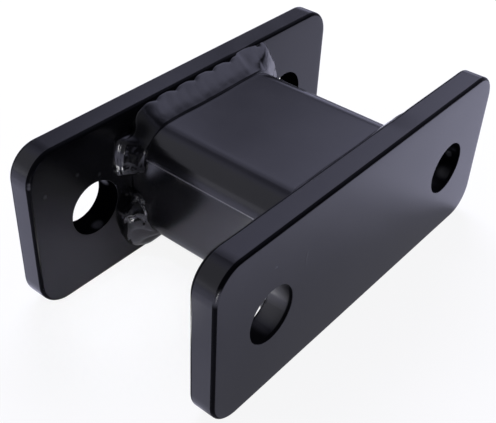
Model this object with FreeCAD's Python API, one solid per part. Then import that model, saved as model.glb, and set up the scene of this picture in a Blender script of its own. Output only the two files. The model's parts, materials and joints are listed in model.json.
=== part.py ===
import FreeCAD
import Part

import math
import os

# Tow ball extension bracket: two drilled plates held apart by a welded box-section tube.
# The plates stand on their long lower edges. X runs along the plates, Y from the ball side
# to the vehicle side, and Z upwards. The origin is on the floor, midway between the plates.
# All sizes are in millimetres.

# Plates
plate_length = 135.0
plate_height = 54.0
plate_thickness = 8.5
plate_corner_radius = 9.5
plate_edge_break = 0.6
plate_gap = 58.0

# Bolt holes, on the plates' middle line
hole_diameter = 17.5
hole_centre_distance = 90.0
hole_rim_break = 0.3

# Box-section spacer tube
tube_width = 60.0
tube_height = 40.0
tube_wall = 5.0
tube_corner_radius = 10.0
tube_lift = 0.9  # how far the tube's centre sits above the bolt holes

# Weld beads. A leg is the bead's reach along the tube or the plate from where they meet.
weld_leg_on_tube = 6.4
weld_leg_above = 4.9
weld_leg_below = 6.0
weld_leg_left = 6.2
weld_leg_right = 6.2
weld_leg_right_shoulder = 7.6  # the upper passes end fatter on the right
weld_crown = 0.7
weld_lump_length = 8.0
weld_notch_on_plate = 1.1  # how deep the ragged plate side is notched between lumps
weld_notch_on_tube = 0.35
weld_wander = 0.45  # how far a hand-made bead swells and narrows
weld_wander_length = 23.0
weld_stop_above = 5.0  # where the upper passes stop, above the tube's centre
weld_stop_below = 3.0  # where the lower passes stop, below the tube's centre
weld_end_taper = 4.0
weld_end_size = 0.4  # a bead's blunt end, as a share of its full section

# Steps along and across a bead's surface
steps_per_lump = 7
steps_across_face = 6

bolt_line = plate_height / 2
tube_centre = bolt_line + tube_lift
plate_inner_face = plate_gap / 2
weld_root_overlap = plate_edge_break


def rounded_bar(width, height, corner_radius, near_y, length, centre_z):
    """A bar of rounded rectangular section that runs along Y."""
    corner = FreeCAD.Vector(-width / 2, near_y, centre_z - height / 2)
    bar = Part.makeBox(width, length, height, corner)
    long_edges = [edge for edge in bar.Edges if is_along_y(edge)]
    return bar.makeFillet(corner_radius, long_edges)


def is_along_y(edge):
    """True for an edge that runs from one end of a bar to the other."""
    first, last = edge.Vertexes[0].Point, edge.Vertexes[-1].Point
    return abs(first.y - last.y) > 1e-6


def bolt_hole(centre_x, near_y):
    """The metal taken out for one bolt, with its two rims broken by a small chamfer."""
    radius = hole_diameter / 2
    rim = radius + hole_rim_break
    profile = Part.makePolygon(
        [
            FreeCAD.Vector(0, 0, 0),
            FreeCAD.Vector(rim, 0, 0),
            FreeCAD.Vector(radius, hole_rim_break, 0),
            FreeCAD.Vector(radius, plate_thickness - hole_rim_break, 0),
            FreeCAD.Vector(rim, plate_thickness, 0),
            FreeCAD.Vector(0, plate_thickness, 0),
            FreeCAD.Vector(0, 0, 0),
        ]
    )
    hole = Part.Face(profile).revolve(FreeCAD.Vector(), FreeCAD.Vector(0, 1, 0), 360)
    hole.translate(FreeCAD.Vector(centre_x, near_y, bolt_line))
    return hole


def plate_blank(near_y):
    """One end plate before it is drilled, with rounded corners and broken edges."""
    slab = rounded_bar(
        plate_length, plate_height, plate_corner_radius, near_y, plate_thickness, bolt_line
    )
    face_edges = [edge for edge in slab.Edges if not is_along_y(edge)]
    return slab.makeChamfer(plate_edge_break, face_edges)


def plate(near_y):
    """One end plate with its two bolt holes."""
    body = plate_blank(near_y)
    for side in (-1, 1):
        body = body.cut(bolt_hole(side * hole_centre_distance / 2, near_y))
    return body


def tube_blank():
    """The spacer tube as a solid bar."""
    return rounded_bar(
        tube_width, tube_height, tube_corner_radius, -plate_inner_face, plate_gap, tube_centre
    )


def spacer_tube():
    """The box-section tube between the plates, open right through."""
    bore = rounded_bar(
        tube_width - 2 * tube_wall,
        tube_height - 2 * tube_wall,
        tube_corner_radius - tube_wall,
        -plate_inner_face,
        plate_gap,
        tube_centre,
    )
    return tube_blank().cut(bore)


def pass_length(stop):
    """How far a weld pass runs round half of the tube, from one stop to the other."""
    straight_sides = 2 * (tube_height / 2 - tube_corner_radius - stop)
    corners = math.pi * tube_corner_radius
    flat = tube_width - 2 * tube_corner_radius
    return straight_sides + corners + flat


def point_on_tube(distance, stop):
    """Where a pass is after that distance: its X, its height above the tube's centre, and its outward angle.

    The pass climbs the left side, crosses over the tube and comes down the right side.
    """
    side = tube_height / 2 - tube_corner_radius - stop
    arc = math.pi / 2 * tube_corner_radius
    flat = tube_width - 2 * tube_corner_radius
    corner_x = flat / 2
    corner_z = tube_height / 2 - tube_corner_radius
    if distance <= side:
        return -tube_width / 2, stop + distance, math.pi
    distance -= side
    if distance <= arc:
        angle = math.pi - distance / tube_corner_radius
        return (
            -corner_x + tube_corner_radius * math.cos(angle),
            corner_z + tube_corner_radius * math.sin(angle),
            angle,
        )
    distance -= arc
    if distance <= flat:
        return -corner_x + distance, tube_height / 2, math.pi / 2
    distance -= flat
    if distance <= arc:
        angle = math.pi / 2 - distance / tube_corner_radius
        return (
            corner_x + tube_corner_radius * math.cos(angle),
            corner_z + tube_corner_radius * math.sin(angle),
            angle,
        )
    return tube_width / 2, corner_z - (distance - arc), 0.0


def end_size(distance_from_end):
    """How full the bead is near one of its ends, as a share of its full section.

    The share follows a quarter of an ellipse, so the end is round and blunt.
    """
    if distance_from_end >= weld_end_taper:
        return 1.0
    missing = 1 - distance_from_end / weld_end_taper
    return weld_end_size + (1 - weld_end_size) * math.sqrt(1 - missing**2)


def bead_section(leg_on_plate, leg_on_tube, crown):
    """The bead's section as (reach from the tube, reach from the plate) pairs.

    Its root goes a little way into the tube and the plate, which are then cut out of it.
    """
    points = [(-weld_root_overlap, -weld_root_overlap), (-weld_root_overlap, leg_on_tube)]
    face_length = math.hypot(leg_on_plate, leg_on_tube)
    for step in range(steps_across_face + 1):
        share = step / steps_across_face
        bulge = crown * 4 * share * (1 - share) / face_length
        points.append(
            (
                leg_on_plate * share + bulge * leg_on_tube,
                leg_on_tube * (1 - share) + bulge * leg_on_plate,
            )
        )
    points.append((leg_on_plate, -weld_root_overlap))
    return points


def weld_bead(near_y, plate_side, up, stop, leg_left, leg_across, leg_right):
    """One weld pass round half of the tube's end, seated on the tube and the plate.

    near_y is where the plate starts along Y.
    plate_side is 1 at the vehicle side plate and -1 at the ball side plate.
    up is 1 for the pass over the tube and -1 for the pass under it.
    """
    length = pass_length(stop)
    lumps = max(1, round(length / weld_lump_length))
    stations = lumps * steps_per_lump
    wires = []
    for station in range(stations + 1):
        distance = length * station / stations
        from_end = length * min(station, stations - station) / stations
        x, height, angle = point_on_tube(distance, stop)
        outward_x = math.cos(angle)
        outward_z = math.sin(angle)
        beside = leg_left if outward_x < 0 else leg_right
        notch = 1 - abs(math.sin(math.pi * station / steps_per_lump))
        swell = weld_wander * math.sin(2 * math.pi * distance / weld_wander_length)
        size = end_size(from_end)
        full_leg = beside * outward_x**2 + leg_across * outward_z**2
        leg_on_plate = size * (full_leg - notch * weld_notch_on_plate)
        leg_on_tube = size * (weld_leg_on_tube + swell - notch * weld_notch_on_tube)
        points = [
            FreeCAD.Vector(
                x + reach * outward_x,
                plate_side * (plate_inner_face - off_plate),
                tube_centre + up * (height + reach * outward_z),
            )
            for reach, off_plate in bead_section(leg_on_plate, leg_on_tube, size * weld_crown)
        ]
        wires.append(Part.makePolygon(points + points[:1]))
    rough = Part.makeLoft(wires, True, True)
    seated = rough.cut(tube_blank()).cut(plate_blank(near_y))
    return seated.removeSplitter()


def build():
    """Every piece of the bracket by its name."""
    pieces = {"spacer_tube": spacer_tube()}
    for side_name, side, near_y in (
        ("vehicle_side", 1, plate_inner_face),
        ("ball_side", -1, -plate_inner_face - plate_thickness),
    ):
        pieces[side_name + "_plate"] = plate(near_y)
        pieces[side_name + "_upper_weld"] = weld_bead(
            near_y, side, 1, weld_stop_above, weld_leg_left, weld_leg_above, weld_leg_right_shoulder
        )
        pieces[side_name + "_lower_weld"] = weld_bead(
            near_y, side, -1, weld_stop_below, weld_leg_left, weld_leg_below, weld_leg_right
        )
    return pieces


os.makedirs("parts", exist_ok=True)
for name, shape in build().items():
    shape.exportStep("parts/" + name + ".step")
    print(name, shape.isValid(), len(shape.Solids), round(shape.Volume, 1))
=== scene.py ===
"""A welded tow ball extension bracket in black paint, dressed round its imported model.

Two drilled plates stand on their long edges, X along them and Y from the ball side to the
vehicle side. A box-section tube joins them, with two weld passes at each of its ends.
"""

import json
import logging
import math
from collections.abc import Callable
from dataclasses import dataclass
from enum import Enum

import bmesh
import bpy
from bmesh.types import BMEdge, BMesh, BMFace, BMVert
from bpy.types import ID, Material, Node, NodeSocket, Object, World
from mathutils import Euler, Matrix, Vector, noise


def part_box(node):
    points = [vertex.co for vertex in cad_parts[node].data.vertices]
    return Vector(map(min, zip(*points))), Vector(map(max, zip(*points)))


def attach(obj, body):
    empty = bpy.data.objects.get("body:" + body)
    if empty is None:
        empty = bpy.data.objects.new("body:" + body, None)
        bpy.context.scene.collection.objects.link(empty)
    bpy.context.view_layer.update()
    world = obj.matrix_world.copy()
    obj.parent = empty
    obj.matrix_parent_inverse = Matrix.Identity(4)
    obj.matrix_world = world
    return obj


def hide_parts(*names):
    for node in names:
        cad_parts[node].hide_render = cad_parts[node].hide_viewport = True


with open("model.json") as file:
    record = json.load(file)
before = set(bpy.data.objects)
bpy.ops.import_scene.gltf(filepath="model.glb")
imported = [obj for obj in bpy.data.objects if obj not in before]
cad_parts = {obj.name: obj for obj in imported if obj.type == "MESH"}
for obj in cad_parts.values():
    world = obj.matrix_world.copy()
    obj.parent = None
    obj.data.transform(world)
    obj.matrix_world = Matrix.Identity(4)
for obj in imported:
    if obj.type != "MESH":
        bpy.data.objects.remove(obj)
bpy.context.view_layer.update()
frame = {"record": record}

MM = 0.001
BODY = "root"
ON_LINE = 0.001 * MM  # points nearer to a line or a plane than this are on it
SAME_PLACE = 0.0005 * MM  # points nearer to each other than this are joined
SHARP_TURN = math.radians(60)
log = logging.getLogger("bracket")


class Side(Enum):
    """The end of the bracket that a plate or a weld is on, by its direction along Y."""

    VEHICLE = 1
    BALL = -1

    @property
    def prefix(self) -> str:
        """How the names of this end's nodes and mounts start."""
        return f"{self.name.lower()}_side"


class Run(Enum):
    """Where a weld pass goes round the tube, by its direction along Z."""

    OVER = 1
    UNDER = -1


class Surface(Enum):
    """The parts of a plate that have a paint of their own, by their material's number."""

    FLAT = 0
    ROUNDED_EDGE = 1
    HOLE = 2
    CUT_EDGE = 3


def mount_size(name: str, size: str) -> float:
    """Reads one size of one of the bracket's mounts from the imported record, in metres."""
    mount = next(entry for entry in frame["record"]["mounts"] if entry["name"] == name)
    return mount["dims"][size] * MM


def ease(value: float, start: float, end: float) -> float:
    """Rises smoothly from 0 at start to 1 at end, which may lie on either side of it."""
    share = min(1.0, max(0.0, (value - start) / (end - start)))
    return share * share * (3 - 2 * share)


def hump(offset: float) -> float:
    """A smooth rise: 1 at an offset of 0, and next to nothing beyond 2 on either side."""
    return math.exp(-offset * offset)


def at_least(least: float, share: float) -> float:
    """Squeezes a share from 0 to 1 into the range from least to 1."""
    return least + (1 - least) * share


def wander(point: Vector, scale: float, seed: float) -> float:
    """A random number from about -1 to 1 that swells smoothly over a scale, by its seed."""
    return noise.noise(point / scale + Vector((seed, 2.7 * seed, -1.3 * seed)))


def math_node(operation: str, swapped: bool = False) -> Callable:
    """Makes an operator of Value that adds a Math node, with the value second if swapped."""

    def operate(value: "Value", other: "Value | float") -> "Value":
        """Adds the node for the value and the other number."""
        inputs = {0: other, 1: value} if swapped else {0: value, 1: other}
        return value.graph.value("ShaderNodeMath", "Value", inputs, operation=operation)

    return operate


@dataclass(frozen=True)
class Value:
    """A number that varies in a shader. Python's operators on it add Math nodes."""

    graph: "ShaderGraph"
    socket: NodeSocket

    __add__ = math_node("ADD")
    __radd__ = math_node("ADD", swapped=True)
    __sub__ = math_node("SUBTRACT")
    __rsub__ = math_node("SUBTRACT", swapped=True)
    __mul__ = math_node("MULTIPLY")
    __rmul__ = math_node("MULTIPLY", swapped=True)
    __truediv__ = math_node("DIVIDE")
    maximum = math_node("MAXIMUM")

    def step(self, start: float, end: float) -> "Value":
        """Rises smoothly from 0 where the value is start to 1 where it is end, on either side."""
        inputs = {"Value": self, "From Min": min(start, end), "From Max": max(start, end)}
        smooth = {"interpolation_type": "SMOOTHSTEP"}
        share = self.graph.value("ShaderNodeMapRange", "Result", inputs, **smooth)
        return share if start < end else 1 - share

    def between(self, start: float, full: float, full_to: float, end: float) -> "Value":
        """1 from full to full_to, falling smoothly to 0 at start and at end."""
        return self.step(start, full) * self.step(end, full_to)


class ShaderGraph:
    """The node tree of a material or of the world, built from an empty one."""

    def __init__(self, owner: Material | World) -> None:
        """Empties its owner's node tree to build in."""
        owner.use_nodes = True
        self.tree = owner.node_tree
        self.tree.nodes.clear()

    def node(self, kind: str, inputs: dict | None = None, **settings: str) -> Node:
        """Adds a node, sets it up and connects it.

        Args:
            kind: The node's type.
            inputs: A number, colour, vector, socket or Value for each input, by name or number.
            **settings: Properties of the node, set before its sockets.

        Returns:
            The node.
        """
        made = self.tree.nodes.new(kind)
        for name, setting in settings.items():
            setattr(made, name, setting)
        for name, given in (inputs or {}).items():
            if isinstance(given, Value):
                given = given.socket
            if isinstance(given, NodeSocket):
                self.tree.links.new(given, made.inputs[name])
            else:
                made.inputs[name].default_value = given
        return made

    def value(self, kind: str, output: str, inputs: dict, **settings: str) -> Value:
        """Adds a node as above and wraps one of its outputs, for use in expressions."""
        return Value(self, self.node(kind, inputs, **settings).outputs[output])

    def axes(self, vector: NodeSocket) -> list[Value]:
        """Splits a vector into its X, Y and Z."""
        parts = self.node("ShaderNodeSeparateXYZ", {"Vector": vector}).outputs
        return [Value(self, parts[axis]) for axis in "XYZ"]

    def clouds(self, place: NodeSocket, swell: float, detail: float = 2.0) -> Value:
        """Soft random clouds of a size, from 0 to 1 and mostly near the middle."""
        inputs = {"Vector": place, "Scale": 1 / swell, "Detail": detail}
        return self.value("ShaderNodeTexNoise", "Fac", inputs)

    def mix_colour(self, factor: Value, first: tuple, second: tuple) -> NodeSocket:
        """Mixes two plain colours by the share of the second one."""
        made = self.node("ShaderNodeMix", data_type="RGBA")
        self.tree.links.new(factor.socket, made.inputs["Factor"])
        colours = [socket for socket in made.inputs if socket.type == "RGBA"]
        colours[0].default_value = (*first, 1)
        colours[1].default_value = (*second, 1)
        return next(socket for socket in made.outputs if socket.type == "RGBA")

    def mix_shaders(self, share: Value, first: Node, second: Node) -> Node:
        """Mixes two shaders by the share of the second one."""
        inputs = {0: share, 1: first.outputs[0], 2: second.outputs[0]}
        return self.node("ShaderNodeMixShader", inputs)


@dataclass(frozen=True)
class Spot:
    """A small round place in the paint. Its height is a bump's, or how strong a patch is."""

    x_mm: float
    y_mm: float
    z_mm: float
    radius_mm: float
    height: float

    def near(self, graph: ShaderGraph, place: NodeSocket, full: float) -> Value:
        """Its height within a share of its radius, fading to 0 at the radius."""
        centre = Vector((self.x_mm, self.y_mm, self.z_mm)) * MM
        inputs = {0: place, 1: centre}
        gap = graph.value("ShaderNodeVectorMath", "Value", inputs, operation="DISTANCE")
        radius = self.radius_mm * MM
        return gap.step(radius, full * radius) * self.height


@dataclass(frozen=True)
class BlackPaint:
    """Smooth black paint over steel, with its waves, its scuffed places, a painted highlight line
    of bare steel, and glossier and duller places that are painted highlights and painted shade.
    """

    name: str
    colour: tuple = (0.0014, 0.0014, 0.002)
    worn_colour: tuple = (0.003, 0.003, 0.0038)
    cloud: float = 14 * MM  # the size of its worn and rougher places
    worn_clouds: tuple = (0.45, 0.75)  # where the clouds start and end to look worn
    roughness: float = 0.2
    roughness_spread: float = 0.07
    dust: float = 0.5 * MM  # a fine variation of the roughness
    dust_spread: float = 0.05
    peel: float = 1.4 * MM
    peel_height: float = 0.004 * MM
    swell: float = 9 * MM
    swell_height: float = 0.02 * MM
    nib: float = 2.6 * MM
    nib_flank: tuple = (0.16, 0.02)  # how near a nib's centre it rises
    nib_clouds: tuple = (0.5, 0.62)  # nibs stand only where the clouds are thick
    nib_height: float = 0.02 * MM
    specular: float = 0.5
    grain: float = 0.0  # the height of the lines that drawing left along Y
    line_worn: float = 0.0  # how strongly bare steel along the tube's upper left corner paints a highlight line
    line_x: tuple = (-24 * MM, -26 * MM)
    line_z: tuple = (38.9 * MM, 39.25 * MM, 39.25 * MM, 39.6 * MM)
    spots: tuple = ()  # small bumps
    scuffs: tuple = ()  # places where steel shows a little
    patches: tuple = ()  # places that mirror more or less than the rest: painted highlights and painted shade
    patch_specular: float = 0.9
    patches_from_y: tuple = ()  # where the patches start and are full along Y

    def material(self) -> Material:
        """Builds the paint."""
        made = bpy.data.materials.new(self.name)
        graph = ShaderGraph(made)
        place = graph.node("ShaderNodeTexCoord").outputs["Object"]
        clouds = graph.clouds(place, self.cloud, 4)
        dust = graph.clouds(place, self.dust, 3)
        relief = {"Height": self._relief(graph, place, clouds), "Distance": 1.0, "Strength": 1.0}
        paint = {
            "Base Color": graph.mix_colour(
                clouds.step(*self.worn_clouds), self.colour, self.worn_colour
            ),
            "Roughness": self.roughness
            + (clouds - 0.5) * self.roughness_spread
            + (dust - 0.5) * self.dust_spread,
            "Normal": graph.node("ShaderNodeBump", relief).outputs["Normal"],
            "IOR": 1.5,
            "Specular IOR Level": self.specular,
        }
        coat = graph.node("ShaderNodeBsdfPrincipled", paint)
        # Where there are patches, a second coat that mirrors more or less is mixed in: painted
        # highlights and painted shade.
        if self.patches:
            paint["Specular IOR Level"] = self.patch_specular
            other = graph.node("ShaderNodeBsdfPrincipled", paint)
            coat = graph.mix_shaders(self._patched(graph, place), coat, other)
        # Bare steel shows at real scuffs, and as a painted highlight line along the tube's corner.
        if self.line_worn or self.scuffs:
            metal = {"Base Color": (0.3, 0.3, 0.31, 1), "Metallic": 0.8, "Roughness": 0.5}
            steel = graph.node("ShaderNodeBsdfPrincipled", metal)
            coat = graph.mix_shaders(self._bare(graph, place), coat, steel)
        graph.node("ShaderNodeOutputMaterial", {"Surface": coat.outputs[0]})
        return made

    def _relief(self, graph: ShaderGraph, place: NodeSocket, clouds: Value) -> Value:
        """The height of the paint's waves, nibs, drawn lines and spots."""
        cells = {"Vector": place, "Scale": 1 / self.nib}
        nibs = graph.value("ShaderNodeTexVoronoi", "Distance", cells, feature="F1")
        relief = (
            graph.clouds(place, self.swell) * self.swell_height
            + graph.clouds(place, self.peel) * self.peel_height
            + nibs.step(*self.nib_flank) * clouds.step(*self.nib_clouds) * self.nib_height
        )
        if self.grain:
            drawn = {"Vector": place, "Scale": (1, 0.04, 1)}
            lines = graph.node("ShaderNodeMapping", drawn).outputs["Vector"]
            relief = relief + graph.clouds(lines, 1.2 * MM, 3) * self.grain
        for spot in self.spots:
            relief = relief + spot.near(graph, place, 0.0)
        return relief

    def _patched(self, graph: ShaderGraph, place: NodeSocket) -> Value:
        """Where the painted highlights and painted shade are: the strongest patch counts where
        they overlap.
        """
        first, *others = (patch.near(graph, place, 0.3) for patch in self.patches)
        for other in others:
            first = first.maximum(other)
        if self.patches_from_y:
            first = first * graph.axes(place)[1].step(*self.patches_from_y)
        return first

    def _bare(self, graph: ShaderGraph, place: NodeSocket) -> Value:
        """Where steel shows: a painted highlight line along the tube's upper left corner, and
        scuffs where the paint is rubbed thin in spots.
        """
        x, _, z = graph.axes(place)
        # The line along the tube's upper left corner is a painted highlight.
        line = x.step(*self.line_x) * z.between(*self.line_z)
        bare = line * (0.6 + 0.4 * graph.clouds(place, 4 * MM)) * self.line_worn
        for scuff in self.scuffs:
            bare = bare + scuff.near(graph, place, 0.2)
        return bare


def place_in_scene(name: str, data: ID) -> Object:
    """Makes an object of a mesh, a lamp or a camera and links it to the scene."""
    made = bpy.data.objects.new(name, data)
    bpy.context.scene.collection.objects.link(made)
    return made


def finish_piece(name: str, mesh: BMesh, materials: list[Material], node: str) -> Object:
    """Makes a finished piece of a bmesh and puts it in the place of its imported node.

    Args:
        name: The piece's name.
        mesh: Its shape, in the bracket's own frame. It is freed.
        materials: Its finishes, in the order of their numbers on its faces.
        node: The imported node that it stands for.

    Returns:
        The piece.
    """
    bmesh.ops.remove_doubles(mesh, verts=mesh.verts[:], dist=SAME_PLACE)
    bmesh.ops.recalc_face_normals(mesh, faces=mesh.faces[:])
    for face in mesh.faces:
        face.smooth = True
    data = bpy.data.meshes.new(name)
    mesh.to_mesh(data)
    mesh.free()
    for material in materials:
        data.materials.append(material)
    piece = place_in_scene(name, data)
    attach(piece, BODY)
    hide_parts(node)
    log.info("%s: %d faces, in the place of %s", name, len(data.polygons), node)
    return piece


def shade_evenly(piece: Object) -> Object:
    """Keeps a piece's flats flat in the light beside its rounded edges."""
    piece.modifiers.new("even_shading", "WEIGHTED_NORMAL").keep_sharp = True
    return piece


def bevel(mesh: BMesh, geometry: list, affect: str, radius: float, steps: int) -> None:
    """Rounds some edges or corners of a mesh, as affect says, with a number of steps."""
    bmesh.ops.bevel(
        mesh,
        geom=geometry,
        affect=affect,
        offset=radius,
        offset_type="OFFSET",
        segments=steps,
        profile=0.5,
        material=-1,
    )


def rounded_rectangle(
    mesh: BMesh, width: float, height: float, radius: float, steps: int
) -> BMFace:
    """Adds a flat rectangle with round corners, in the XY plane round the origin."""
    corners = bmesh.ops.create_grid(mesh, x_segments=1, y_segments=1, size=0.5)["verts"]
    bmesh.ops.scale(mesh, verts=corners, vec=(width, height, 1))
    bevel(mesh, corners, "VERTICES", radius, steps)
    return max(mesh.faces, key=lambda face: face.calc_area())


def thicken(mesh: BMesh, thickness: float) -> None:
    """Gives a flat outline its thickness, half of it on each side."""
    bmesh.ops.translate(mesh, verts=mesh.verts[:], vec=(0, 0, -thickness / 2))
    grown = bmesh.ops.extrude_face_region(mesh, geom=mesh.faces[:])["geom"]
    top = [item for item in grown if isinstance(item, BMVert)]
    bmesh.ops.translate(mesh, verts=top, vec=(0, 0, thickness))
    bmesh.ops.recalc_face_normals(mesh, faces=mesh.faces[:])


def sharp_edges(mesh: BMesh) -> list[BMEdge]:
    """The edges where a mesh turns sharply."""
    return [edge for edge in mesh.edges if edge.calc_face_angle(0) > SHARP_TURN]


def stand_up(mesh: BMesh, centre: Vector) -> None:
    """Turns a mesh that was built lying down upright along Y, and moves it to its centre."""
    mesh.transform(Matrix.Translation(centre) @ Matrix.Rotation(math.pi / 2, 4, "X"))


def cut_through(mesh: BMesh, place: Vector, normal: Vector) -> None:
    """Adds edges to a whole mesh where a plane cuts it."""
    everything = mesh.verts[:] + mesh.edges[:] + mesh.faces[:]
    bmesh.ops.bisect_plane(mesh, geom=everything, dist=ON_LINE, plane_co=place, plane_no=normal)


def slice_evenly(mesh: BMesh, axis: int, low: float, high: float, step: float) -> None:
    """Cuts a mesh square to an axis at even steps, so that its surface can be shaped."""
    count = max(1, round((high - low) / step))
    normal = Vector((0, 0, 0))
    normal[axis] = 1
    for cut in range(1, count):
        cut_through(mesh, normal * (low + (high - low) * cut / count), normal)


@dataclass
class Plate:
    """One drilled end plate with rounded corners and worn edges."""

    side: Side
    materials: list[Material]
    corner_radius: float = 9.5 * MM
    corner_steps: int = 14
    edge_round: float = 1.1 * MM
    edge_steps: int = 6
    rim_round: float = 0.25 * MM
    rear_rim_round: float = 0.25 * MM
    rim_steps: int = 4
    hole_steps: int = 64
    cell: float = 2.5 * MM
    hole_paint_reach: float = 0.05 * MM  # past the hole's wall
    flat_paint_reach: float = 2 * MM  # past the hole's wall, over its rounded rim
    cut_edge_lean: float = 0.13  # how far a cut edge may face along Y
    flat_lean: float = 0.985  # how far a flat at least faces along Y
    wave: float = 22 * MM
    waviness: float = 0.05 * MM
    nick: float = 5 * MM
    edge_waviness: float = 0.09 * MM
    roll: float = 0.07 * MM
    roll_width: float = 3.2 * MM
    burn_from: tuple = (16 * MM, 18 * MM)
    burn_to: tuple = (27 * MM, 23 * MM)
    burn_width: float = 4 * MM
    burn_height: float = 3 * MM
    burn_depth: float = 0.3 * MM

    def __post_init__(self) -> None:
        """Takes the plate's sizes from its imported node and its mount."""
        self.node = f"{self.side.prefix}_plate"
        self.low, self.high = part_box(self.node)
        self.middle = (self.low + self.high) / 2
        self.inner_face = self.low.y if self.side is Side.VEHICLE else self.high.y
        mount = f"{self.side.prefix}_bolts"
        self.hole_radius = mount_size(mount, "hole_r_mm")
        self.hole_x = mount_size(mount, "spacing_x_mm") / 2

    def build(self) -> Object:
        """Builds the plate."""
        mesh = bmesh.new()
        self._drilled_face(mesh)
        thicken(mesh, self.high.y - self.low.y)
        self._round_rims(mesh)
        stand_up(mesh, self.middle)
        slice_evenly(mesh, 0, self.low.x, self.high.x, self.cell)
        slice_evenly(mesh, 2, self.low.z, self.high.z, self.cell)
        self._weather(mesh)
        for face in mesh.faces:
            face.material_index = self._surface(face).value
        name = self.node.replace("_plate", "_drilled_plate")
        return shade_evenly(finish_piece(name, mesh, self.materials, self.node))

    def _surface(self, face: BMFace) -> Surface:
        """Which part of the plate a face belongs to."""
        past_wall = self._off_axis(face.calc_center_median()) - self.hole_radius
        lean = abs(face.normal.y)
        if past_wall < self.hole_paint_reach:
            return Surface.HOLE
        if past_wall < self.flat_paint_reach or lean >= self.flat_lean:
            return Surface.FLAT
        return Surface.CUT_EDGE if lean < self.cut_edge_lean else Surface.ROUNDED_EDGE

    def _off_axis(self, place: Vector) -> float:
        """How far a point is from the nearer hole's axis."""
        return math.hypot(abs(place.x) - self.hole_x, place.z - self.middle.z)

    def _drilled_face(self, mesh: BMesh) -> None:
        """Makes the plate's outline with its two holes, as an upper and a lower face."""
        size = self.high - self.low
        rounded_rectangle(mesh, size.x, size.z, self.corner_radius, self.corner_steps)
        cut_through(mesh, Vector((0, 0, 0)), Vector((0, 1, 0)))
        bmesh.ops.delete(mesh, geom=mesh.faces[:], context="FACES_ONLY")
        middle = [edge for edge in mesh.edges if self._on_middle(edge)]
        bmesh.ops.delete(mesh, geom=middle, context="EDGES")
        for hole_x in (-self.hole_x, self.hole_x):
            bmesh.ops.create_circle(
                mesh,
                segments=self.hole_steps,
                radius=self.hole_radius,
                matrix=Matrix.Translation((hole_x, 0, 0)),
            )
        ends = [vert for vert in mesh.verts if abs(vert.co.y) < ON_LINE]
        ends.sort(key=lambda vert: vert.co.x)
        for left, right in zip(ends[0::2], ends[1::2]):
            mesh.edges.new((left, right))
        for half in (1, -1):
            border = [
                edge
                for edge in mesh.edges
                if self._on_middle(edge)
                or half * (edge.verts[0].co.y + edge.verts[1].co.y) > ON_LINE
            ]
            bmesh.ops.edgeloop_fill(mesh, edges=border)

    def _on_middle(self, edge: BMEdge) -> bool:
        """True for an edge along the line through the holes' centres."""
        return all(abs(vert.co.y) < ON_LINE for vert in edge.verts)

    def _round_rims(self, mesh: BMesh) -> None:
        """Rounds the outline's rims and those of the holes, before the plate is stood up."""
        outline, front, rear = [], [], []
        for edge in sharp_edges(mesh):
            place, other = (vert.co for vert in edge.verts)
            if abs(place.z - other.z) > ON_LINE:
                continue
            off_axis = math.hypot(abs(place.x) - self.hole_x, place.y)
            if off_axis > self.hole_radius + 0.1 * MM:
                outline.append(edge)
            else:
                (front if place.z > 0 else rear).append(edge)
        bevel(mesh, outline, "EDGES", self.edge_round, self.edge_steps)
        bevel(mesh, front, "EDGES", self.rim_round, self.rim_steps)
        bevel(mesh, rear, "EDGES", self.rear_rim_round, self.rim_steps)

    def _weather(self, mesh: BMesh) -> None:
        """Makes the faces wavy and the edges uneven, always inwards, and burns one edge."""
        mesh.normal_update()
        seed = 3.1 * self.side.value
        moves = []
        for vert in mesh.verts:
            flat = abs(vert.normal.y)
            swell = 0.5 + 0.5 * wander(vert.co, self.wave, seed)
            nick = 0.5 + 0.5 * wander(vert.co, self.nick, seed + 9)
            depth = flat * (swell * self.waviness + self.roll * self._near_outline(vert.co) ** 2)
            if self._off_axis(vert.co) > self.hole_radius + MM:
                depth += (1 - flat) * nick * self.edge_waviness
            moves.append((vert, -vert.normal * depth - Vector((0, 0, self._burn(vert.co)))))
        for vert, move in moves:
            vert.co += move

    def _near_outline(self, place: Vector) -> float:
        """How near the outline a point on a face is, from 1 there to 0 well inside."""
        half = (self.high - self.low) / 2
        past_x = max(0.0, abs(place.x - self.middle.x) - half.x + self.corner_radius)
        past_z = max(0.0, abs(place.z - self.middle.z) - half.z + self.corner_radius)
        inside = self.corner_radius - math.hypot(past_x, past_z)
        return max(0.0, 1 - max(0.0, inside) / self.roll_width)

    def _burn(self, place: Vector) -> float:
        """How far the weld's heat has sunk the plate's inner top edge at a point."""
        along = ease(place.x, *self.burn_from) * ease(place.x, *self.burn_to)
        across = ease(abs(place.y - self.inner_face), self.burn_width, 0)
        up = ease(place.z, self.high.z - self.burn_height, self.high.z)
        return self.burn_depth * along * across * up


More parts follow.
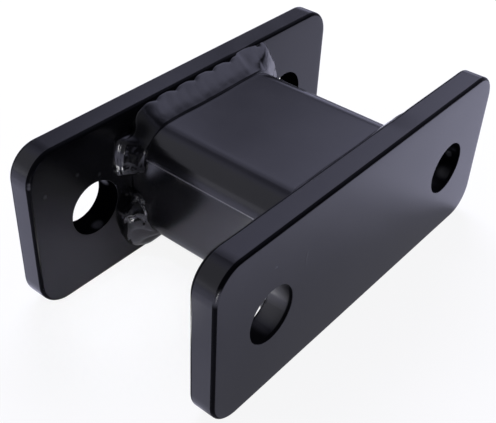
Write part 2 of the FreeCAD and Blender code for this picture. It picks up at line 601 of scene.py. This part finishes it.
@dataclass
class SpacerTube:
    """The box-section tube between the plates, open right through."""

    material: Material
    node: str = "spacer_tube"
    wall: float = 5 * MM
    corner_radius: float = 10 * MM
    corner_steps: int = 20
    cell: float = 2.5 * MM
    end_break: float = 0.35 * MM
    end_steps: int = 2
    hollow: float = 0.1 * MM
    wave: float = 16 * MM

    def build(self) -> Object:
        """Builds the tube."""
        low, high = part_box(self.node)
        size = high - low
        centre = (low + high) / 2
        mesh = bmesh.new()
        face = rounded_rectangle(mesh, size.x, size.z, self.corner_radius, self.corner_steps)
        bmesh.ops.inset_region(
            mesh, faces=[face], thickness=self.wall, use_boundary=True, use_even_offset=True
        )
        bmesh.ops.delete(mesh, geom=[face], context="FACES_ONLY")
        thicken(mesh, size.y)
        bevel(mesh, sharp_edges(mesh), "EDGES", self.end_break, self.end_steps)
        stand_up(mesh, centre)
        for axis in range(3):
            slice_evenly(mesh, axis, low[axis], high[axis], self.cell)
        self._draw_in(mesh, centre, size)
        return shade_evenly(finish_piece("box_section_tube", mesh, [self.material], self.node))

    def _draw_in(self, mesh: BMesh, centre: Vector, size: Vector) -> None:
        """Lets each flat sink a little in its middle, as a drawn tube's does, and waver."""
        mesh.normal_update()
        flat_x = size.x / 2 - self.corner_radius
        flat_z = size.z / 2 - self.corner_radius
        moves = []
        for vert in mesh.verts:
            level = abs(vert.normal.z) * ease(abs(vert.co.x - centre.x), flat_x, 0)
            level += abs(vert.normal.x) * ease(abs(vert.co.z - centre.z), flat_z, 0)
            waver = 0.5 + 0.5 * wander(vert.co, self.wave, 5.3)
            moves.append((vert, -vert.normal * self.hollow * (0.7 * level + 0.5 * waver)))
        for vert, move in moves:
            if abs(vert.normal.y) < 0.5:
                vert.co += move


@dataclass(frozen=True)
class Streak:
    """A ridge along the start of a bead, or a groove where its rise is below 0."""

    across: float  # from 0 at the plate to 1 at the tube
    width: float  # as a share of the face
    rise_mm: float


@dataclass(frozen=True)
class Blob:
    """A drop of metal on a bead, or a dent where its rise is below 0."""

    along_mm: float
    across: float  # from 0 at the plate to 1 at the tube
    radius_mm: float
    rise_mm: float


@dataclass
class WeldBead:
    """One weld pass round half of the tube's end, lumpy at its sides and calmer on the flat.

    A leg is the bead's reach from the tube's corner with the plate. The spans of a corner
    are shares of its arc, and the other spans are distances along the pass.
    """

    side: Side
    run: Run
    material: Material
    stop: float
    seed: float
    leg_left: float = 7.1 * MM
    leg_left_corner: float = 3.7 * MM
    leg_across: float = 5.5 * MM
    leg_right: float = 7.7 * MM
    leg_waver: float = 0.25 * MM
    leg_on_tube: float = 6.4 * MM
    leg_on_tube_waver: float = 0.3 * MM
    left_corner_spans: tuple = ((0.3, 0.45), (0.48, 0.72))
    right_corner_span: tuple = (0.1, 0.5)
    scallop: float = 8.3 * MM
    scallop_depth: float = 0.85 * MM
    scallop_reach: float = 0.25  # how far across the face the scallops show
    lip: float = 0.2 * MM
    lip_width: float = 0.06
    lump: float = 4.1 * MM
    lump_on_left: float = 0.1 * MM
    lump_on_right: float = 0.2 * MM
    lump_across: float = 0.025 * MM
    lump_at_ends: float = 0.5 * MM
    lump_end_span: tuple = (4.5 * MM, 1.5 * MM)
    crown_at_sides: float = 1.15 * MM
    crown_across: float = 0.25 * MM
    crown_at_left: float = 1.15 * MM
    streaks: tuple[Streak, ...] = ()
    streak_span: tuple = (16 * MM, 7 * MM)
    blobs: tuple[Blob, ...] = ()
    pits_mm: tuple = ()  # the X and Z of each, at the plate
    pit_radius: float = 0.7 * MM
    pit_depth: float = 0.8 * MM
    start_span: tuple = ()  # where a thin start grows to the full bead
    start_grain: float = 0.09
    start_grain_span: tuple = (10 * MM, 3 * MM)
    end_taper: float = 3.2 * MM
    blunt_end: float = 0.16
    merges_into_edge: bool = False
    merge_from: tuple = (37 * MM, 39.5 * MM)  # from the flat's start
    merge_to: tuple = (10 * MM, 6 * MM)  # past the flat's end
    step: float = 0.27 * MM
    steps_across: int = 34
    root_depth: float = 0.5 * MM
    toe_depth: float = 0.22 * MM

    def __post_init__(self) -> None:
        """Takes the tube's and the plate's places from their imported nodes."""
        pass_name = "upper" if self.run is Run.OVER else "lower"
        self.node = f"{self.side.prefix}_{pass_name}_weld"
        low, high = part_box("spacer_tube")
        self.plate_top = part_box(f"{self.side.prefix}_plate")[1].z
        self.inner_face = high.y if self.side is Side.VEHICLE else low.y
        self.centre = (low + high) / 2
        self.into_plate = Vector((0, self.side.value, 0))
        self.pits = [Vector((x * MM, self.inner_face, z * MM)) for x, z in self.pits_mm]
        self.corner_radius = SpacerTube.corner_radius
        size = high - low
        self.flat = size.x - 2 * self.corner_radius
        self.wall_run = size.z / 2 - self.corner_radius - self.stop
        self.arc = math.pi / 2 * self.corner_radius
        self.length = self.flat + 2 * (self.wall_run + self.arc)

    def build(self) -> Object:
        """Builds the bead as a grid wrapped round its section all along the tube."""
        mesh = bmesh.new()
        stations = round(self.length / self.step)
        rows = self.steps_across + 4
        bmesh.ops.create_grid(mesh, x_segments=stations, y_segments=rows, size=1)
        for vert in mesh.verts:
            along = (vert.co.x + 1) / 2
            row = round((vert.co.y + 1) / 2 * rows)
            vert.co = self._surface(along * self.length, row)
        bmesh.ops.remove_doubles(mesh, verts=mesh.verts[:], dist=SAME_PLACE)
        open_edges = [edge for edge in mesh.edges if edge.is_boundary]
        bmesh.ops.holes_fill(mesh, edges=open_edges, sides=0)
        name = self.node.replace("_weld", "_weld_bead")
        return finish_piece(name, mesh, [self.material], self.node)

    def _place(self, distance: float) -> tuple[Vector, Vector]:
        """Follows the tube's outline from the left stop to the right one.

        Args:
            distance: How far along the pass, in metres.

        Returns:
            The point on the tube at the plate, and the way out from the tube there.
        """
        turn = min(max(distance - self.wall_run, 0), self.arc)
        level = min(max(distance - self.wall_run - self.arc, 0), self.flat)
        turn_down = min(max(distance - self.wall_run - self.arc - self.flat, 0), self.arc)
        fall = max(distance - self.wall_run - 2 * self.arc - self.flat, 0)
        angle = math.pi - (turn + turn_down) / self.corner_radius
        out = Vector((math.cos(angle), 0, math.sin(angle)))
        corner = Vector((-self.flat / 2 + level, 0, self.stop + self.wall_run))
        point = corner + out * self.corner_radius
        point.z += min(distance - self.wall_run, 0) - fall
        out.z *= self.run.value
        point.z = self.centre.z + self.run.value * point.z
        point.x += self.centre.x
        point.y = self.inner_face
        return point, out

    def _leg_on_plate(self, distance: float) -> float:
        """How far the bead reaches up the plate, before the scallops along its toe."""
        turned = (distance - self.wall_run) / self.arc
        turned_down = (distance - self.wall_run - self.arc - self.flat) / self.arc
        to_corner, to_flat = self.left_corner_spans
        leg = self.leg_left
        leg += (self.leg_left_corner - leg) * ease(turned, *to_corner)
        leg += (self.leg_across - leg) * ease(turned, *to_flat)
        return leg + (self.leg_right - leg) * ease(turned_down, *self.right_corner_span)

    def _notch(self, distance: float) -> float:
        """How deep the toe on the plate is notched between two scallops."""
        scallop = abs(math.sin(math.pi * distance / self.scallop + self.seed))
        return self.scallop_depth * (1 - scallop) ** 1.5

    def _from_end(self, distance: float) -> float:
        """How far a place on the pass is from its nearer end."""
        return min(distance, self.length - distance)

    def _size(self, distance: float) -> float:
        """How full the bead's section is, as a share: its ends are blunt."""
        missing = 1 - min(1.0, self._from_end(distance) / self.end_taper)
        return at_least(self.blunt_end, math.sqrt(1 - missing**2))

    def _merged(self, distance: float) -> float:
        """How far the bead has run into the plate's top edge, from 0 to 1."""
        if not self.merges_into_edge:
            return 0.0
        on_flat = distance - self.wall_run - self.arc
        return ease(on_flat, *self.merge_from) * ease(on_flat - self.flat, *self.merge_to)

    def _surface(self, distance: float, row: int) -> Vector:
        """Places one point of the bead.

        Args:
            distance: How far along the pass, in metres.
            row: Which row round the section: 0 and the last are the root, 1 and the last
                but one are the sunk toes, and those between are the open face.

        Returns:
            The point.
        """
        point, out = self._place(distance)
        last = self.steps_across + 4
        if row in (0, last):
            return point + (self.into_plate - out) * self.root_depth
        size = self._size(distance)
        merged = self._merged(distance)
        started = ease(distance, *self.start_span) if self.start_span else 1.0
        waver = self.leg_waver * wander(point, 6 * MM, self.seed)
        leg_plate = size * (self._leg_on_plate(distance) + waver) * at_least(0.27, started)
        waver = self.leg_on_tube_waver * wander(point, 9 * MM, self.seed + 4)
        leg_tube = size * (self.leg_on_tube + waver) * at_least(0.8, started)
        size *= at_least(0.4, started)
        notch = out * size * (1 - merged) * self._notch(distance)
        plate_toe = self._plate_toe(point, out, leg_plate, merged)
        if row == 1:
            return plate_toe - notch + (self.into_plate - 0.3 * out) * self.toe_depth
        tube_toe = point - self.into_plate * leg_tube
        if row == last - 1:
            return tube_toe - out * self.toe_depth
        share = (row - 2) / self.steps_across
        normal = (out * leg_tube - self.into_plate * leg_plate).normalized()
        height = size * self._height(distance, share, abs(out.x), out.x < 0)
        place = plate_toe.lerp(tube_toe, share)
        place += normal * (height + self._roughness(place, share, abs(out.x), distance))
        place -= notch * max(0.0, 1 - share / self.scallop_reach) ** 2
        face_length = math.hypot(leg_plate, leg_tube)
        for blob in self.blobs:
            off_centre = (share - blob.across) * face_length
            gap = math.hypot(distance - blob.along_mm * MM, off_centre)
            place += normal * blob.rise_mm * MM * hump(gap / (blob.radius_mm * MM))
        for pit in self.pits:
            place -= normal * self.pit_depth * hump((place - pit).length / self.pit_radius)
        return place

    def _height(self, distance: float, share: float, beside: float, on_left: bool) -> float:
        """How far the full bead's face stands above the straight line between its toes.

        Args:
            distance: How far along the pass, in metres.
            share: How far across the face, from 0 at the plate to 1 at the tube.
            beside: 1 on the tube's upright walls, 0 on its flat.
            on_left: Whether this is the left half of the pass.

        Returns:
            The height, in metres.
        """
        crown_beside = self.crown_at_left if on_left else self.crown_at_sides
        crown = self.crown_across + (crown_beside - self.crown_across) * beside
        bulge = crown * math.sin(math.pi * share ** (1 - 0.4 * beside)) ** (1.2 + 0.8 * beside)
        lump_beside = self.lump_on_left if on_left else self.lump_on_right
        depth = self.lump_across + (lump_beside - self.lump_across) * beside
        depth += (self.lump_at_ends - depth) * ease(self._from_end(distance), *self.lump_end_span)
        bow = (0.4 + 0.7 * beside * on_left) * (1 - (2 * share - 1) ** 2)
        ripple = abs(math.sin(math.pi * (distance / self.lump + bow) + 1.7 * self.seed))
        rolled = ease(share, 0, self.lip_width) * ease(share, 1, 1 - self.lip_width)
        streak = sum(
            line.rise_mm * hump((share - line.across) / line.width) for line in self.streaks
        )
        streak *= MM * ease(distance, *self.streak_span) * rolled
        return bulge + streak + self.lip * rolled + depth * (ripple - 0.75) * self._window(share)

    def _window(self, share: float) -> float:
        """Fades the face's unevenness out at both of its toes."""
        return math.sin(math.pi * share) ** 0.6

    def _roughness(self, place: Vector, share: float, beside: float, distance: float) -> float:
        """Small random unevenness of the face, most of it at the sides and at the start."""
        grain = 0.045 + self.start_grain * ease(distance, *self.start_grain_span)
        coarse = 0.14 * MM * wander(place, 2.6 * MM, self.seed + 7)
        fine = grain * MM * wander(place, 0.85 * MM, self.seed + 2)
        return self._window(share) * at_least(0.12, beside) * (coarse + fine)

    def _plate_toe(self, point: Vector, out: Vector, leg: float, merged: float) -> Vector:
        """Where the bead's face meets the plate, or runs over the plate's melted top edge."""
        toe = point + out * leg
        if merged:
            over_edge = self.inner_face + self.side.value * 1.2 * MM
            toe = toe.lerp(Vector((toe.x, over_edge, self.plate_top - 0.3 * MM)), merged)
        return toe


# The settings of each weld pass that differ from the usual ones.
UPPER_BEADS = {
    Side.BALL: {"leg_on_tube": 4.0 * MM, "leg_across": 4.7 * MM},
    Side.VEHICLE: {
        "leg_left": 7.7 * MM,
        "lump_at_ends": 0.25 * MM,
        "end_taper": 4.5 * MM,
        "crown_at_left": 0.6 * MM,
        "start_grain": 0.16,
        "merges_into_edge": True,
        "pits_mm": ((28.5, 53.2), (35.3, 44.7), (38.0, 37.8)),
        "streaks": (
            Streak(0.08, 0.05, 0.12),
            Streak(0.19, 0.035, -0.2),
            Streak(0.31, 0.07, 0.2),
            Streak(0.94, 0.04, 0.14),
        ),
        "blobs": (
            Blob(0.5, 0.2, 0.4, 0.35),
            Blob(0.7, 0.45, 0.4, 0.3),
            Blob(0.5, 0.72, 0.4, 0.3),
            Blob(2.2, 0.1, 0.6, 0.2),
        ),
    },
}
LOWER_BEAD = {
    "leg_left": 5.8 * MM,
    "leg_left_corner": 8.0 * MM,
    "left_corner_spans": ((0.1, 0.6), (0.65, 1.0)),
    "leg_across": 5.6 * MM,
    "leg_right": 6.2 * MM,
    "lump_on_left": 0.55 * MM,
    "start_span": (2.6 * MM, 6.6 * MM),
    "start_grain": 0.24,
    "end_taper": 3 * MM,
    "streaks": (Streak(0.95, 0.05, 0.22),),
    "blobs": (
        Blob(5.4, 0.42, 1.3, 0.9),
        Blob(7.6, 0.4, 0.7, -0.3),
        Blob(1.0, 0.5, 0.5, 0.25),
        Blob(1.8, 0.78, 0.35, 0.3),
        Blob(2.6, 0.35, 0.35, 0.3),
        Blob(3.4, 0.6, 0.35, 0.3),
        Blob(3.9, 0.88, 0.4, 0.4),
        Blob(4.6, 0.3, 0.35, 0.3),
        Blob(10.6, 0.8, 0.4, 0.35),
        Blob(13.0, 0.12, 0.4, 0.35),
    ),
}


@dataclass
class Bracket:
    """The whole bracket, built in order from its tube to its plates and their welds."""

    vehicle_plate_paint: BlackPaint = BlackPaint(
        "black_paint_on_vehicle_plate",
        # This paint mirrors less than the ball plate's, as painted shade on the vehicle plate.
        specular=0.32,
        scuffs=(
            Spot(-50.64, 29, 41.71, 1.0, 0.1),
            Spot(-42.7, 29, 37.88, 1.0, 0.1),
            Spot(-62.34, 29, 40.3, 1.0, 0.1),
        ),
    )
    ball_plate_paint: BlackPaint = BlackPaint(
        "black_paint_on_ball_plate",
        spots=(
            Spot(-31.33, -37.5, 39.4, 0.5, 0.1 * MM),
            Spot(-31.5, -37.5, 38.6, 0.5, 0.16 * MM),
            Spot(-31.55, -37.5, 37.7, 0.5, 0.18 * MM),
            Spot(-31.5, -37.5, 36.8, 0.5, 0.16 * MM),
            Spot(-31.4, -37.5, 36.0, 0.5, 0.1 * MM),
        ),
        scuffs=(
            Spot(-44.65, -37.5, 43.11, 1.0, 0.12),
            Spot(-56.55, -37.5, 44.13, 0.9, 0.05),
            Spot(-53.98, -37.5, 40.91, 0.9, 0.05),
            Spot(-56.61, -37.5, 37.1, 0.9, 0.05),
            Spot(-59.07, -37.5, 20.52, 0.9, 0.04),
        ),
    )
    edge_paint: BlackPaint = BlackPaint(
        # The rounded edges mirror little, as painted shade that draws them as dark lines; the
        # patches are painted glints near the plates' upper left corners.
        "thin_paint_on_edges",
        roughness=0.28,
        specular=0.035,
        patches=(
            Spot(-66.45, -37.2, 47.5, 3.0, 0.7),
            Spot(-66.95, 29.2, 46.6, 0.9, 0.5),
            Spot(-67.1, 29.2, 45.6, 0.9, 0.6),
        ),
    )
    cut_edge_paint: BlackPaint = BlackPaint(
        "paint_on_cut_edges", roughness=0.22, specular=0.52, grain=0.01 * MM
    )
    ball_hole_paint: BlackPaint = BlackPaint(
        # The hole walls mirror little, as painted shade, and the patches are painted highlights on
        # them.
        "thin_paint_in_ball_side_holes",
        roughness=0.3,
        specular=0.04,
        swell_height=0.06 * MM,
        patches=(
            Spot(-37.6, -33.0, 23.6, 11.0, 1.0),
            Spot(53.7, -33.65, 26.5, 1.5, 0.9),
            Spot(53.4, -35.4, 29.4, 1.5, 0.4),
            Spot(51.35, -34.8, 21.0, 3.5, 0.45),
        ),
        patches_from_y=(-36.6 * MM, -36.1 * MM),
    )
    vehicle_hole_paint: BlackPaint = BlackPaint(
        # Painted shade: the hole walls are darker than the paint and mirror nothing; the patches
        # are painted highlights.
        "thin_paint_in_vehicle_side_holes",
        colour=(0.0004, 0.0004, 0.0006),
        worn_colour=(0.0008, 0.0008, 0.001),
        roughness=0.4,
        specular=0.0,
        swell_height=0.06 * MM,
        patches=(Spot(-36.9, 35.0, 30.8, 3.4, 0.6), Spot(-43.4, 31.0, 18.5, 2.4, 0.3)),
    )
    tube_paint: BlackPaint = BlackPaint(
        # This paint mirrors more than the plates', as painted light on the tube, and the
        # bare-steel line along its upper left corner is a painted highlight.
        "black_paint_on_tube", roughness=0.2, specular=0.64, grain=0.008 * MM, line_worn=0.6
    )
    weld_paint: BlackPaint = BlackPaint(
        # This paint mirrors more than the plates', as painted light on the beads; its patches
        # mirror less, as painted shade at the left ends of the vehicle side beads and at a pit.
        "black_paint_on_weld",
        roughness=0.16,
        specular=0.72,
        swell=3 * MM,
        swell_height=0.03 * MM,
        nib_height=0.03 * MM,
        patches=(
            Spot(-31.0, 24.2, 36.5, 4.9, 0.92),
            Spot(-32.6, 25.2, 32.8, 4.2, 0.85),
            Spot(-31.6, 25.6, 43.0, 4.8, 0.88),
            Spot(-29.3, 25.7, 47.9, 4.6, 0.9),
            Spot(-31.8, 26.0, 24.2, 4.2, 0.85),
            Spot(-36.0, 28.0, 15.5, 4.6, 0.7),
            Spot(28.5, 29.0, 53.0, 1.1, 1.0),
        ),
        patch_specular=0.12,
    )

    def build(self) -> list[Object]:
        """Builds every piece."""
        edge, cut = self.edge_paint.material(), self.cut_edge_paint.material()
        flat, hole = self.vehicle_plate_paint.material(), self.vehicle_hole_paint.material()
        rounds = {"edge_round": 1.25 * MM, "rim_round": 0.18 * MM, "rear_rim_round": 0.06 * MM}
        vehicle_plate = Plate(Side.VEHICLE, [flat, edge, hole, cut], **rounds)
        flat, hole = self.ball_plate_paint.material(), self.ball_hole_paint.material()
        ball_plate = Plate(Side.BALL, [flat, edge, hole, cut], rear_rim_round=1.4 * MM)
        weld = self.weld_paint.material()
        pieces = [SpacerTube(self.tube_paint.material()).build()]
        for plate in (vehicle_plate, ball_plate):
            side = plate.side
            usual = {"stop": 4.6 * MM, "seed": 1.3 * side.value}
            over = WeldBead(side, Run.OVER, weld, **usual, **UPPER_BEADS[side])
            usual = {"stop": 1.9 * MM, "seed": 2.1 * side.value}
            under = WeldBead(side, Run.UNDER, weld, **usual, **LOWER_BEAD)
            pieces += [plate.build(), over.build(), under.build()]
        return pieces


@dataclass(frozen=True)
class Lamp:
    """A soft rectangular lamp, in metres and watts."""

    name: str
    place: tuple
    aim: tuple
    size: tuple
    power: float
    spread_deg: float = 180
    in_gloss: bool = False  # whether the paint mirrors it

    def build(self) -> None:
        """Hangs the lamp, out of the camera's sight."""
        data = bpy.data.lights.new(self.name, "AREA")
        data.shape = "RECTANGLE"
        data.size, data.size_y = self.size
        data.energy = self.power
        data.spread = math.radians(self.spread_deg)
        lamp = place_in_scene(self.name, data)
        lamp.location = self.place
        way = Vector(self.aim) - Vector(self.place)
        lamp.rotation_euler = way.to_track_quat("-Z", "Y").to_euler()
        lamp.visible_camera = False
        lamp.visible_glossy = self.in_gloss


@dataclass(frozen=True)
class Studio:
    """A white floor, a soft surround and the camera at the photograph's viewing angle.

    A span of the surround says where a panel starts, is full, is still full and ends, or
    only where it starts and is full. Across and beyond are X and Y over the height, and a
    bearing is X over Y.
    """

    image_width: int = 496
    focal_length_px: float = 870.29
    camera_place_mm: tuple = (-176.49, -130.63, 185.55)
    camera_turn_deg: tuple = (52.0822, -2.3587, -50.1617)
    floor_size: float = 6.0
    floor_drop: float = 0.02 * MM
    floor_colour: tuple = (0.76, 0.76, 0.99, 1)
    camera_white: float = 0.9
    gloss_white: float = 0.22
    # A dark patch of the floor behind on the right, seen only in the paint's reflections, is
    # painted shade.
    dark_corner_colour: tuple = (0.16, 0.16, 0.2)
    dark_corner_share: float = 0.72
    dark_corner_x: tuple = (0.06, 0.14)
    dark_corner_y: tuple = (0.0, 0.08)
    cool_light: tuple = (0.86, 0.86, 1.19)
    warm_light: tuple = (0.95, 0.95, 1.1)
    panel_across: tuple = (0.1, 1.0, 2.3, 4.4)
    panel_beyond: tuple = (-1.2, -0.65, 0.78, 1.0)
    left_panel: float = 0.7
    left_panel_bearing: tuple = (0.55, 1.0, 1.08, 1.16)
    left_panel_beyond: tuple = (1.45, 1.1)
    wall_height: tuple = (0.36, 0.16)
    front_way: tuple = (-0.42, -0.906, 0)
    front_dimmed: float = 0.93
    front_span: tuple = (-0.35, 0.65)
    back_left: float = 0.4
    back_left_way: tuple = (-0.66, 0.75, 0)
    back_left_span: tuple = (0.45, 0.85)
    lamps: tuple[Lamp, ...] = (
        Lamp("key_softbox", (0.42, 0.44, 0.6), (0, 0, 0.02), (0.5, 0.5), 9.5),
        Lamp("left_pool", (-0.1, 0.002, 0.25), (-0.05, 0.012, 0), (0.02, 0.02), 0.0035, 14),
        Lamp(
            "weld_glint", (-0.076, 0.003, MM), (-0.076, 0.003, 1), (0.014, 0.008), 0.012, 180, True
        ),
        Lamp("low_strip", (-0.22, -0.19, 0.02), (0, 0, 0.02), (0.035, 0.02), 0.06, 180, True),
    )

    def build(self) -> None:
        """Builds the camera, the floor, the surround and the lamps."""
        self._camera()
        self._floor()
        self._surround()
        for lamp in self.lamps:
            lamp.build()
        bpy.context.scene.view_settings.view_transform = "Standard"

    def _camera(self) -> None:
        """Makes the camera."""
        data = bpy.data.cameras.new("camera")
        data.lens = self.focal_length_px * data.sensor_width / self.image_width
        data.clip_start = 0.01
        data.clip_end = 20
        camera = place_in_scene("camera", data)
        camera.location = Vector(self.camera_place_mm) * MM
        camera.rotation_euler = Euler([math.radians(turn) for turn in self.camera_turn_deg])
        bpy.context.scene.camera = camera

    def _rays(self, graph: ShaderGraph) -> tuple[Value, Value]:
        """The rays that see plain white, as the camera's do, and those that the paint mirrors."""
        path = graph.node("ShaderNodeLightPath").outputs
        kinds = ("Camera", "Transmission", "Glossy")
        camera, through, glossy = (Value(graph, path[f"Is {kind} Ray"]) for kind in kinds)
        return camera.maximum(through), glossy

    def _floor(self) -> None:
        """Makes the pale floor, with a faint shadow for the camera and painted shade on a patch
        behind on the right, seen only in gloss.
        """
        mesh = bmesh.new()
        bmesh.ops.create_grid(mesh, x_segments=8, y_segments=8, size=self.floor_size / 2)
        bmesh.ops.translate(mesh, verts=mesh.verts[:], vec=(0, 0, -self.floor_drop))
        data = bpy.data.meshes.new("floor")
        mesh.to_mesh(data)
        mesh.free()
        material = bpy.data.materials.new("white_floor")
        graph = ShaderGraph(material)
        seen, glossy = self._rays(graph)
        x, y, _ = graph.axes(graph.node("ShaderNodeTexCoord").outputs["Object"])
        # Painted shade: the floor turns dark here for the rays that the paint mirrors.
        corner = glossy * x.step(*self.dark_corner_x) * y.step(*self.dark_corner_y)
        tone = graph.mix_colour(corner, (1, 1, 1), self.dark_corner_colour)
        share = seen * self.camera_white + glossy * self.gloss_white
        lit = graph.node("ShaderNodeBsdfDiffuse", {"Color": self.floor_colour})
        plain = graph.node("ShaderNodeEmission", {"Color": tone, "Strength": 1.0})
        both = graph.mix_shaders(share + self.dark_corner_share * corner, lit, plain)
        graph.node("ShaderNodeOutputMaterial", {"Surface": both.outputs[0]})
        data.materials.append(material)
        floor = place_in_scene("floor", data)

    def _surround(self) -> None:
        """Makes the world: a large panel high on the right, a small one on the left, pale walls
        that are dim at the front, and a soft light behind on the left."""
        world = bpy.data.worlds.new("surround")
        bpy.context.scene.world = world
        graph = ShaderGraph(world)
        way = graph.node("ShaderNodeTexCoord").outputs["Generated"]
        x, y, z = graph.axes(way)
        height = z.maximum(0.02)
        across, beyond, bearing = x / height, y / height, x / y.maximum(0.05)
        panel = across.between(*self.panel_across) * beyond.between(*self.panel_beyond)
        left = bearing.between(*self.left_panel_bearing) * beyond.step(*self.left_panel_beyond)
        front = self._facing(graph, way, self.front_way).step(*self.front_span)
        wall = z.step(*self.wall_height) * (1 - self.front_dimmed * front)
        back_left = self._facing(graph, way, self.back_left_way).step(*self.back_left_span)
        brightest = panel.maximum(left * self.left_panel).maximum(wall)
        brightest = brightest.maximum(back_left * self.back_left)
        darker = 0.17 * y.step(-0.1, -0.45) * x.step(-0.15, 0.3)
        lighter = 0.03 * x.step(0.3, 0.6) * y.step(0.2, 0.5)
        dim = 0.2 - darker + lighter
        tint = graph.mix_colour(x.step(0.1, -0.3), self.cool_light, self.warm_light)
        light = {"Color": tint, "Strength": dim + (1 - dim) * brightest}
        soft = graph.node("ShaderNodeBackground", light)
        white = graph.node("ShaderNodeBackground", {"Color": (1, 1, 1, 1), "Strength": 1.0})
        both = graph.mix_shaders(self._rays(graph)[0], soft, white)
        graph.node("ShaderNodeOutputWorld", {"Surface": both.outputs[0]})

    def _facing(self, graph: ShaderGraph, way: NodeSocket, towards: tuple) -> Value:
        """The cosine of the angle between a direction's compass bearing and another's."""
        kind = "ShaderNodeVectorMath"
        level = graph.node(kind, {0: way, 1: (1, 1, 0)}, operation="MULTIPLY").outputs[0]
        bearing = graph.node(kind, {0: level}, operation="NORMALIZE").outputs[0]
        return graph.value(kind, "Value", {0: bearing, 1: towards}, operation="DOT_PRODUCT")


def main() -> None:
    """Builds the bracket in its studio."""
    logging.basicConfig(level=logging.INFO, format="%(name)s: %(message)s")
    pieces = Bracket().build()
    Studio().build()
    log.info("%d pieces stand in the studio", len(pieces))


if __name__ == "__main__":
    main()
